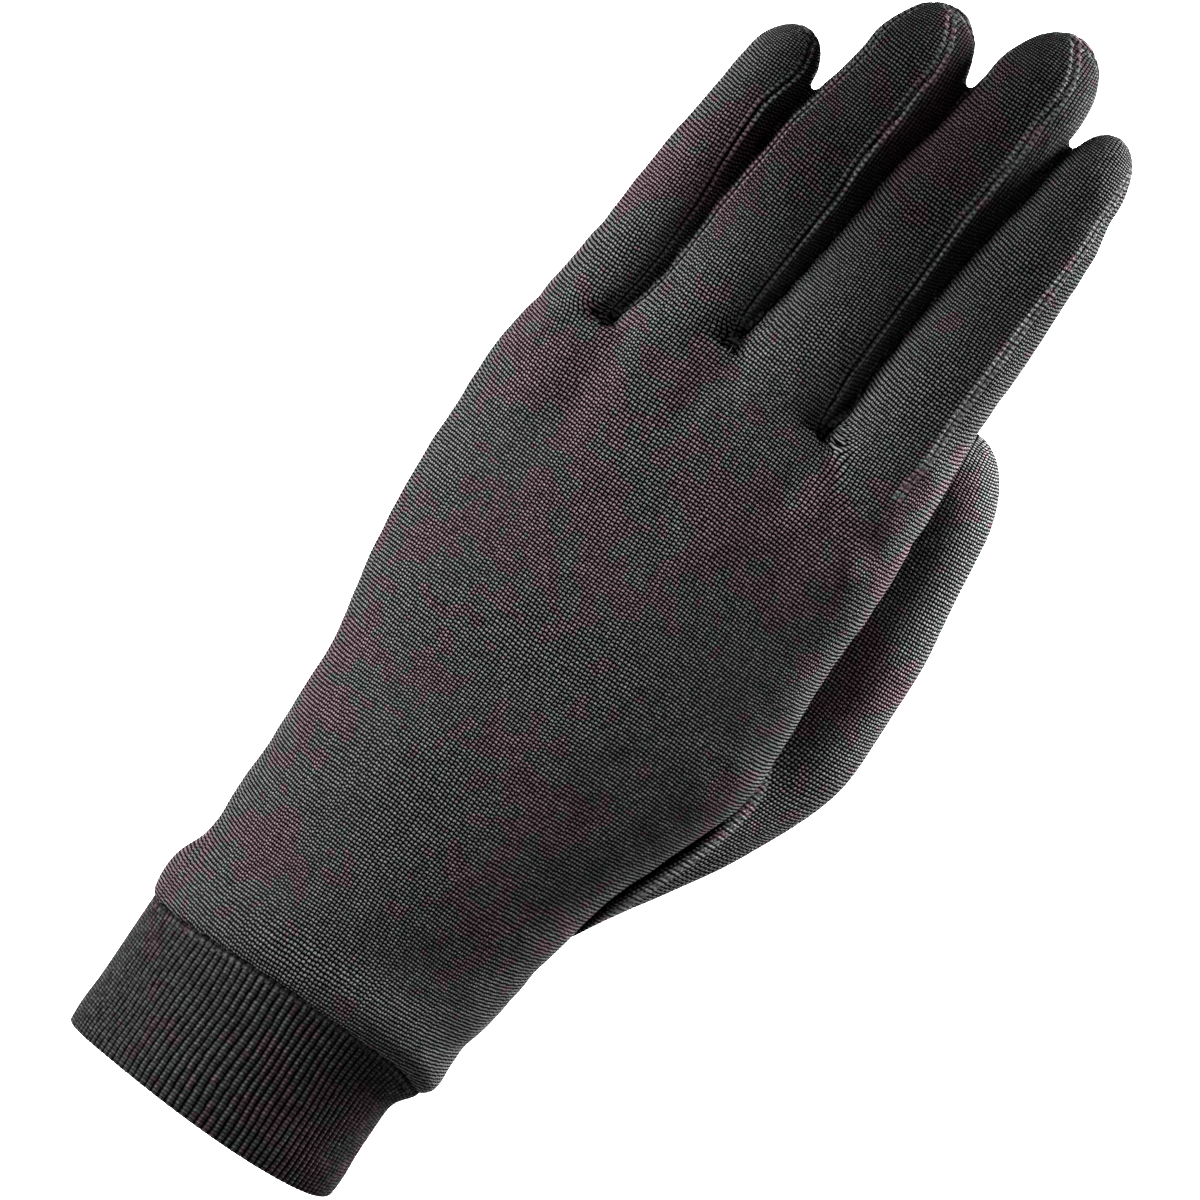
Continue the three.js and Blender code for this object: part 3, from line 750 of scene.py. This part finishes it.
def knit(name, wale, course, ribbed, rowed, shade, edge_shade=1.0):
    """Fine knit: rows of small loops, bright on their tops and near black in the gaps between
    them, partly the knit's pattern and partly painted highlight and painted shade, in mottled
    yarn, and a dark line between two rolled edges with stitches along each seam. shade is the
    yarn's brightness, lowered on the fourchettes as painted shade between the fingers, and
    edge_shade how much brighter it is beside the seams."""
    n = Nodes(name)
    place = n.add("ShaderNodeTexCoord").outputs["Object"]
    aside, up, _ = n.split(n.add("ShaderNodeUVMap", uv_map="seam").outputs[0])
    across, _, height = n.split(place)
    loops = loop_height(n, place, wale, course, ribbed, rowed)
    # Bright loop tops and near-black gaps: partly the knit's pattern, partly painted highlight on
    # the tops and painted shade in the gaps.
    bright = n.math("POWER", n.spread(loops, 0.22, 1.0, kind="LINEAR"), 2.4)

    # Painted shade: the loops darken towards the fingers' ends, most on the ring and middle
    # fingers, less on the forefinger and the little finger.
    painted_shade = n.product(n.spread(height, *PAINTED_SHADE_RISE), n.spread(across, -0.030, -0.014))
    painted_shade = n.product(painted_shade, n.spread(across, 0.026, 0.036, 1.0, 0.7))
    bright = n.product(bright, n.sum_of(painted_shade, FINGER_PAINTED_SHADE - 1, 1.0))

    ridge = n.product(n.spread(aside, 0.3, 0.7), n.spread(aside, 1.4, 1.0))
    stitch = n.math("ABSOLUTE", n.math("SINE", n.product(up, math.pi / STITCH)))
    stitch = n.math("POWER", stitch, 2.5)
    bead = n.product(n.product(ridge, stitch), n.spread(height, *SEAM_FADE, 1.0, 0.4))
    faint = n.spread(height, *SEAM_FADE, 1.0, 0.35)
    dark_line = n.product(n.spread(aside, 0.10, 0.40, 0.85, 0.0), faint)
    bright = n.product(bright, n.math("SUBTRACT", 1.0, dark_line))
    bright = n.sum_of(bead, 0.6, n.product(bright, n.sum_of(ridge, -0.4, 1.0)))
    # On the fourchettes edge_shade lifts their painted shade beside the seams, so it lies in the
    # grooves.
    bright = n.product(bright, n.spread(aside, 1.0, 2.4, edge_shade, 1.0))

    gap = [c * shade for c in GAP] + [1]
    relief = n.sum_of(ridge, 1.2, n.sum_of(bead, 0.5, loops))
    bump = {"Strength": 0.9, "Distance": 0.00025, "Height": relief}
    return n.finished({
        "Base Color": n.mix(bright, gap, yarn_colour(n, place, shade)),
        "Roughness": 0.6,
        "Specular IOR Level": n.product(bright, 0.4),
        "Normal": n.add("ShaderNodeBump", bump).outputs[0],
    })


def plain(name, colour, roughness):
    """A matt surface with a faint grain."""
    n = Nodes(name)
    place = n.add("ShaderNodeTexCoord").outputs["Object"]
    grain = n.spread(n.noise(place, 3.0), 0.3, 0.7)
    tone = n.mix(grain, colour, [c * 0.985 for c in colour[:3]] + [1])
    return n.finished({"Base Color": tone, "Roughness": roughness})


# Pieces

def shell_surface():
    """Points, faces and edges of the hand's and fingers' outer cloth."""
    points, faces = merged([hand_mesh()] + [finger_mesh(finger) for finger in FINGERS])
    points, quads = remeshed(points, faces, VOXEL)
    edges = edges_of(quads)
    points = smoothed(points, edges, SMOOTH_ROUNDS)
    x, y, z = points.T
    near = sum(
        np.exp(-((x - across) / 5) ** 2 - ((z - up) / 6) ** 2) for across, up, _ in WEB_MOVES
    )
    near = np.minimum(near, 1)[:, None]
    for _ in range(WEB_ROUNDS):
        points = points + 0.5 * near * (around(points, edges) - points)
    x, y, z = points.T
    for across, up, aside in WEB_MOVES:
        near = np.exp(-((x - across) / 5) ** 2 - ((z - up) / 8) ** 2)
        x, z = x + aside[0] * near, z + aside[1] * near
    return np.stack([x, y, z], 1), quads, edges


def nearest_finger(points):
    x, y, z = points.T
    middle = middle_at(x, z)
    reaches = np.array([
        reach_of(lambda at, finger=finger: finger_at(finger, at), x, y, z, middle)
        for finger in FINGERS
    ])
    return reaches.argmin(0)


def finger_arcs(points, nearest):
    """For each point its length round its finger from the middle of the finger's back, the
    finger's girth there and the height of its tip."""
    x, y, z = points.T
    middle = middle_at(x, z)
    arcs, girths, tips = np.zeros((3, len(points)))
    for index, finger in enumerate(FINGERS):
        own = nearest == index
        section = lambda at, finger=finger: finger_at(finger, at)
        arcs[own] = arc_round(section, x[own], y[own], z[own], middle[own])
        _, wide, deep, _ = section(z[own])
        girths[own] = np.pi * (wide + deep) / 2 * 1.03
        tips[own] = KNUCKLE_HEIGHT + finger[4] * FINGER_LENGTH
    return arcs, girths, tips


def strip_fields(z, nearest, arcs, girths, tips):
    """For each web, how far inside its fourchette a point lies, along the cloth."""
    fields = []
    for index, (_, _, rise, web_turn) in enumerate(WEBS):
        web = up_hand(1 + rise)
        above = z - (web - FOURCHETTE_DROP)
        turn = web_turn * ramp(z, web - FOURCHETTE_DROP, web + FOURCHETTE_RISE)
        upper, lower = (tips - STRIP_TOP - z) / STRIP_TIP, above / STRIP_FOOT
        narrow = np.sqrt(np.clip(upper, 0, 1) * np.clip(lower, 0, 1))
        half = FOURCHETTE_WIDTH / 2 * narrow
        more = TIP_TURN * ramp(z, web + 12, tips - 6)
        right = half + more / 2 - np.abs(arcs - (girths / 2 - turn - more / 2))
        left = half - np.abs(arcs + (girths / 2 + turn))
        side = np.where(nearest == index, right, np.where(nearest == index + 1, left, -50.0))
        fields.append(np.minimum(side, above))
    return fields


def face_labels(points, quads, half, fields):
    """The piece of each face: 0 back, 1 palm, 2 and up the strips, -1 the open end."""
    x, y, z = points.T
    labels = np.where(half[quads].mean(1) > 0, 0, 1)
    for index, field in enumerate(fields):
        labels[field[quads].mean(1) > 0] = index + 2
    end = (reach_of(cuff_section, x, y, z, 0 * x) < 0.97) & (z < SEAM_HEIGHT + 4)
    labels[end[quads].mean(1) > 0.5] = -1
    return labels


def seam_distance(x, z, nearest, arcs, fields):
    """Distance from the nearest seam on the fingers."""
    strips = np.min(np.abs(fields), axis=0)
    on_forefinger = (nearest == len(FINGERS) - 1) & (z > web_line(x) + 4)
    return np.minimum(strips, np.where(on_forefinger, np.abs(arcs - FORE_SEAM) + 0.2, 9.0))


def shell_relief(points, seam, half):
    """Height of the seams' grooves and ridges, the cloth's waves and its folds."""
    groove = -GROOVE_DEPTH * np.exp(-(seam / GROOVE_WIDTH) ** 2)
    groove = groove + RIDGE_HEIGHT * np.exp(-((seam - RIDGE_PLACE) / GROOVE_WIDTH) ** 2)
    waves = sum(high * ripple(points, size, seed) for high, size, seed in CLOTH_WAVES)
    folds = fold_at(points[:, 0], points[:, 2]) * ramp(half, 0, 6)
    return groove + waves + folds


def build_shell(cloth, groove_shaded_cloth):
    """The back, the palm and the fourchettes, cut out of one surface."""
    points, quads, edges = shell_surface()
    nearest = nearest_finger(points)
    arcs, girths, tips = finger_arcs(points, nearest)
    x, y, z = points.T
    half = middle_at(x, z) - y
    fields = []
    for field in strip_fields(z, nearest, arcs, girths, tips):
        points, field = snapped(points, edges, field)
        fields.append(field)
    points, half = snapped(points, edges, half)
    labels = face_labels(points, quads, half, fields)
    x, y, z = points.T
    seam = seam_distance(x, z, nearest, arcs, fields)
    normals = normals_of(points, quads)
    points = points + normals * shell_relief(points, seam, half)[:, None]

    # The knit's columns and rows follow the cloth to the sides and over the fingertips.
    wave_u = 0.35 * ripple(points, 30, 5)
    wave_v = 0.45 * ripple(points, 24, 6)
    on_finger = ramp(z, web_line(x) - 1, web_line(x) + 6)
    finger_across, finger_wide, finger_deep = np.zeros((3, len(points)))
    for index, finger in enumerate(FINGERS):
        own = nearest == index
        sizes = finger_at(finger, z[own])
        finger_across[own], finger_wide[own], finger_deep[own] = sizes[:3]
    full_deep = np.array([finger[2] for finger in FINGERS])[nearest] * FINGER_DEPTH / 2
    domed = 0.8 * on_finger * np.maximum(0, 0.9 * full_deep - finger_deep)
    across, wide, deep, _ = hand_at(z)
    finger_side = np.clip(1.6 * (x - finger_across) / np.maximum(finger_wide, 1), -1, 1)
    hand_side = np.clip(2 * (x - across) / wide, -1, 1)
    side = on_finger * finger_side + (1 - on_finger) * hand_side
    front_deep = on_finger * finger_deep + (1 - on_finger) * deep
    for number, name in enumerate(["back_panel", "palm_panel"] + [web[0] for web in WEBS]):
        u, v = finger_across + arcs + wave_u, z + wave_v + domed
        if number < 2:
            facing = 1 if number == 1 else -1
            recede = np.maximum(0, front_deep + facing * (middle_at(x, z) - y))
            u = x + side * recede + wave_u
            v = v + on_finger * recede * ramp(normals[:, 2], 0.35, 0.85)
        used, faces = np.unique(quads[labels == number], return_inverse=True)
        maps = [("knit", np.stack([u, v], 1)[used]), ("seam", np.stack([seam, z], 1)[used])]
        thing = make_mesh(name, points[used], faces.reshape(-1, 4).tolist(), maps, CLOTH)
        # The ring-middle and middle-fore strips take the knit with painted shade.
        dress(thing, groove_shaded_cloth if number > 2 else cloth, name)


def thumb_mesh():
    """The thumb's tube in square faces, and three-sided ones that close its tip."""
    foot = up_hand(THUMB_FOOT[1])
    last, tip = foot + THUMB_LENGTH - THUMB_DOME, foot + THUMB_LENGTH
    turns = np.arange(THUMB_SIDES) / THUMB_SIDES * 2 * math.pi
    rings = []
    for z in dome_heights(foot - 5, last, tip, 0.8):
        across, back, wide, deep, roundness = (float(v) for v in thumb_at(np.array(z)))
        x = across + wide * bulge(np.cos(turns), roundness)
        y = back + deep * bulge(np.sin(turns), roundness)
        rings.append(np.stack([x, y, np.full_like(x, z)], 1))
    points, faces = rings_to_mesh(rings, capped=False)
    points = np.concatenate([points, [[rings[-1][:, 0].mean(), rings[-1][:, 1].mean(), tip]]])
    top = (len(rings) - 1) * THUMB_SIDES
    nexts = [top + (i + 1) % THUMB_SIDES for i in range(THUMB_SIDES)]
    cap = [[top + i, following, len(points) - 1] for i, following in enumerate(nexts)]
    return points, np.array(faces), cap, last


def build_thumb(cloth):
    """The thumb's tube, cut off where it meets the hand."""
    points, quads, cap, last = thumb_mesh()
    x, y, z = points.T
    deep = hand_at(z)[2]
    out = (reach_of(hand_at, x, y, z, middle_at(x, z)) - 1) * deep
    out = np.where(z > web_line(x), 5.0, out)
    points, out = snapped(points, edges_of(quads), out - SEAM_GAP)
    x, y, z = points.T
    across, back, _, deep, _ = thumb_at(z)
    arc = arc_round(thumb_section, x, y, z, back)
    faces = quads[out[quads].mean(1) > 0].tolist() + cap
    used, flat = np.unique([i for face in faces for i in face], return_inverse=True)
    flat = flat.tolist()
    packed, start = [], 0
    for face in faces:
        packed.append(flat[start:start + len(face)])
        start += len(face)
    relief = 0.2 * ripple(points, 22, 8) + 0.35 * np.exp(-((out - 1.0) / 0.7) ** 2)
    normals = np.stack([x - across, y - back, 0 * x], 1)
    normals /= np.maximum(np.linalg.norm(normals, axis=1), 1e-6)[:, None]
    points = points + normals * relief[:, None]
    domed = 0.8 * np.maximum(0, 0.93 * THUMB_DEPTH / 2 - deep) * (z > last)
    knit_map = np.stack([arc, z + domed + 0.3 * ripple(points, 20, 9)], 1)
    maps = [("knit", knit_map[used]), ("seam", np.stack([out, z], 1)[used])]
    dress(make_mesh("thumb", points[used], packed, maps, CLOTH), cloth, "thumb")


def cuff_profile():
    """The cuff's wall from its outer top round the rim to its inner top: inset, height and
    share of the ribs' depth."""
    low = RIM_ROUND / CUFF_HEIGHT
    profile = [(0.0, share * CUFF_HEIGHT, 1.0) for share in np.linspace(1, low, 26)]
    for t in np.linspace(0, math.pi, 9)[1:-1]:
        inset = CUFF_WALL / 2 * (1 - math.cos(t))
        profile.append((inset, RIM_ROUND * (1 - math.sin(t)), 1 - 0.5 * inset / CUFF_WALL))
    return profile + [(CUFF_WALL, share * CUFF_HEIGHT, 0.5) for share in np.linspace(low, 1, 9)]


def build_cuff(cloth):
    """A tube of rib, its wall double round the rim."""
    ribs = round(math.pi * (CUFF_WIDTH + CUFF_DEPTH) / 2 / RIB_PITCH)
    count = ribs * 8
    turns = np.arange(count) / count * 2 * math.pi
    thumb_side = np.maximum(0, np.cos(turns)) ** 6
    rings, knit_map, seam_map = [], [], []
    total, before = 0.0, None
    for inset, rise, ribbed in cuff_profile():
        swell = CUFF_SWELL * math.exp(-((rise - 4) / 4) ** 2)
        flare = CUFF_FLARE * math.exp(-((rise - 28) / 3.6) ** 2) * thumb_side
        wide, deep = CUFF_WIDTH / 2 - inset + swell, CUFF_DEPTH / 2 - inset + swell
        x = wide * bulge(np.cos(turns), CUFF_ROUND) + flare
        y = deep * bulge(np.sin(turns), CUFF_ROUND)
        spots = np.stack([x, y, np.full_like(x, rise)], 1)
        phase = turns / (2 * math.pi) * ribs + 0.12 * ripple(spots, 14, 11)
        depth = RIB_DEPTH * ribbed * (1 - (0.5 + 0.5 * np.cos(2 * math.pi * phase)) ** 0.7)
        out = np.stack([x / wide ** 2, y / deep ** 2], 1)
        out /= np.linalg.norm(out, axis=1)[:, None]
        z = np.full_like(x, rise)
        if rise > RIM_ROUND:
            stretch = (seam_height(x, y) + 0.3 - RIM_ROUND) / (CUFF_HEIGHT - RIM_ROUND)
            z = RIM_ROUND + (rise - RIM_ROUND) * stretch
        drop = RIM_SLOPE * x * np.maximum(0, -y) / deep + RIM_DROP * np.cos(turns) ** 4
        z = z - drop * np.clip(1 - z / 12, 0, 1)
        x, y = x - out[:, 0] * depth, y - out[:, 1] * depth
        rings.append(np.stack([x, y, z], 1))
        if before is not None:
            total += math.hypot(inset - before[0], rise - before[1])
        before = (inset, rise)
        knit_map.append(np.stack([(phase + 0.5) * RIB_PITCH, np.full_like(x, -total)], 1))
        below = np.maximum(0, seam_height(x, y) - 0.3 - z)
        seam_map.append(np.stack([below, x + y], 1))
    for rows in (rings, knit_map, seam_map):
        rows.append(rows[0])
    points, faces = rings_to_mesh(rings, capped=False)
    maps = [("knit", np.concatenate(knit_map)), ("seam", np.concatenate(seam_map))]
    dress(make_mesh("cuff", points, faces, maps), cloth, "cuff")


# Camera, light and floor

VIEW_LIFT = math.radians(8.5)
VIEW_ROLL = math.radians(34)
VIEW_WIDTH = 0.2244
VIEW_AIM = (0.00901, 0.0, 0.1221)
VIEW_DISTANCE = 2.2
SENSOR = 36
WORLD_STRENGTH = 0.12

# Lights: name, place, aim, size, watts, spread in degrees
LIGHTS = (
    ("key", (-0.38, -0.22, 0.19), (0, 0, 0.14), (0.20, 0.30), 2.6, 180),
    ("side", (0.27, 0.07, 0.42), (0.05, 0, 0.18), (0.12, 0.20), 4.9, 180),
    ("backdrop", (0, 1.9, 1.5), (0, 3.4, -0.35), (2.8, 0.8), 170, 80),
)

FLOOR_HEIGHT = -0.75
FLOOR_NEAR, FLOOR_FAR, FLOOR_SIDE = -0.5, 3.5, 3.0
FLOOR_CURVE = 0.5  # radius of the curve from the floor to the backdrop
BACKDROP_TOP = 3.0


def place_camera():
    data = bpy.data.cameras.new("camera")
    data.sensor_width = SENSOR
    data.lens = SENSOR * VIEW_DISTANCE / VIEW_WIDTH
    data.clip_start, data.clip_end = 0.05, 30
    camera = bpy.data.objects.new("camera", data)
    bpy.context.scene.collection.objects.link(camera)
    back = Vector((0, -math.cos(VIEW_LIFT), math.sin(VIEW_LIFT)))
    up = Vector((0, math.sin(VIEW_LIFT), math.cos(VIEW_LIFT)))
    right = Vector((1, 0, 0))
    tilted_right = right * math.cos(VIEW_ROLL) + up * math.sin(VIEW_ROLL)
    tilted_up = up * math.cos(VIEW_ROLL) - right * math.sin(VIEW_ROLL)
    turn = Matrix((tilted_right, tilted_up, back)).transposed().to_4x4()
    camera.matrix_world = Matrix.Translation(Vector(VIEW_AIM) + back * VIEW_DISTANCE) @ turn
    bpy.context.scene.camera = camera


def add_light(name, place, aim, size, watts, spread):
    data = bpy.data.lights.new(name, "AREA")
    data.shape = "RECTANGLE"
    data.size, data.size_y = size
    data.energy = watts
    data.spread = math.radians(spread)
    light = bpy.data.objects.new(name, data)
    light.location = place
    light.rotation_euler = (Vector(aim) - Vector(place)).to_track_quat("-Z", "Y").to_euler()
    bpy.context.scene.collection.objects.link(light)


def build_stage():
    """A pale floor that curves up into a backdrop."""
    line = [(FLOOR_NEAR, FLOOR_HEIGHT)]
    for turn in np.linspace(0, math.pi / 2, 17):
        y = FLOOR_FAR - FLOOR_CURVE + FLOOR_CURVE * math.sin(turn)
        line.append((y, FLOOR_HEIGHT + FLOOR_CURVE * (1 - math.cos(turn))))
    line.append((FLOOR_FAR, BACKDROP_TOP))
    points = [(x, y, z) for y, z in line for x in (-FLOOR_SIDE, FLOOR_SIDE)]
    faces = [(2 * i, 2 * i + 1, 2 * i + 3, 2 * i + 2) for i in range(len(line) - 1)]
    mesh = bpy.data.meshes.new("studio_floor")
    mesh.from_pydata(points, [], faces)
    mesh.shade_smooth()
    stage = bpy.data.objects.new("studio_floor", mesh)
    bpy.context.scene.collection.objects.link(stage)
    mesh.materials.append(plain("pale_floor", (0.93, 0.93, 0.93, 1), 0.9))


def light_scene():
    world = bpy.data.worlds.new("studio")
    world.use_nodes = True
    background = world.node_tree.nodes["Background"]
    background.inputs["Color"].default_value = (1, 1, 1, 1)
    background.inputs["Strength"].default_value = WORLD_STRENGTH
    bpy.context.scene.world = world
    for light in LIGHTS:
        add_light(*light)
    bpy.context.scene.view_settings.view_transform = "Standard"


place_camera()
light_scene()
build_stage()
hand_knit = knit("hand_knit", WALE, COURSE, ribbed=0.58, rowed=1.0, shade=1.0)
# The ring-middle and middle-fore fourchettes: their lower shade is painted shade in the grooves
# between the fingers.
groove_shaded_knit = knit(
    "fourchette_painted_shade_knit", WALE, COURSE, ribbed=0.60, rowed=0.5, shade=0.55, edge_shade=1.8
)
rib_knit = knit("rib_knit", RIB_PITCH, RIB_COURSE, ribbed=0.52, rowed=0.40, shade=0.26)
build_shell(hand_knit, groove_shaded_knit)
build_thumb(hand_knit)
build_cuff(rib_knit)
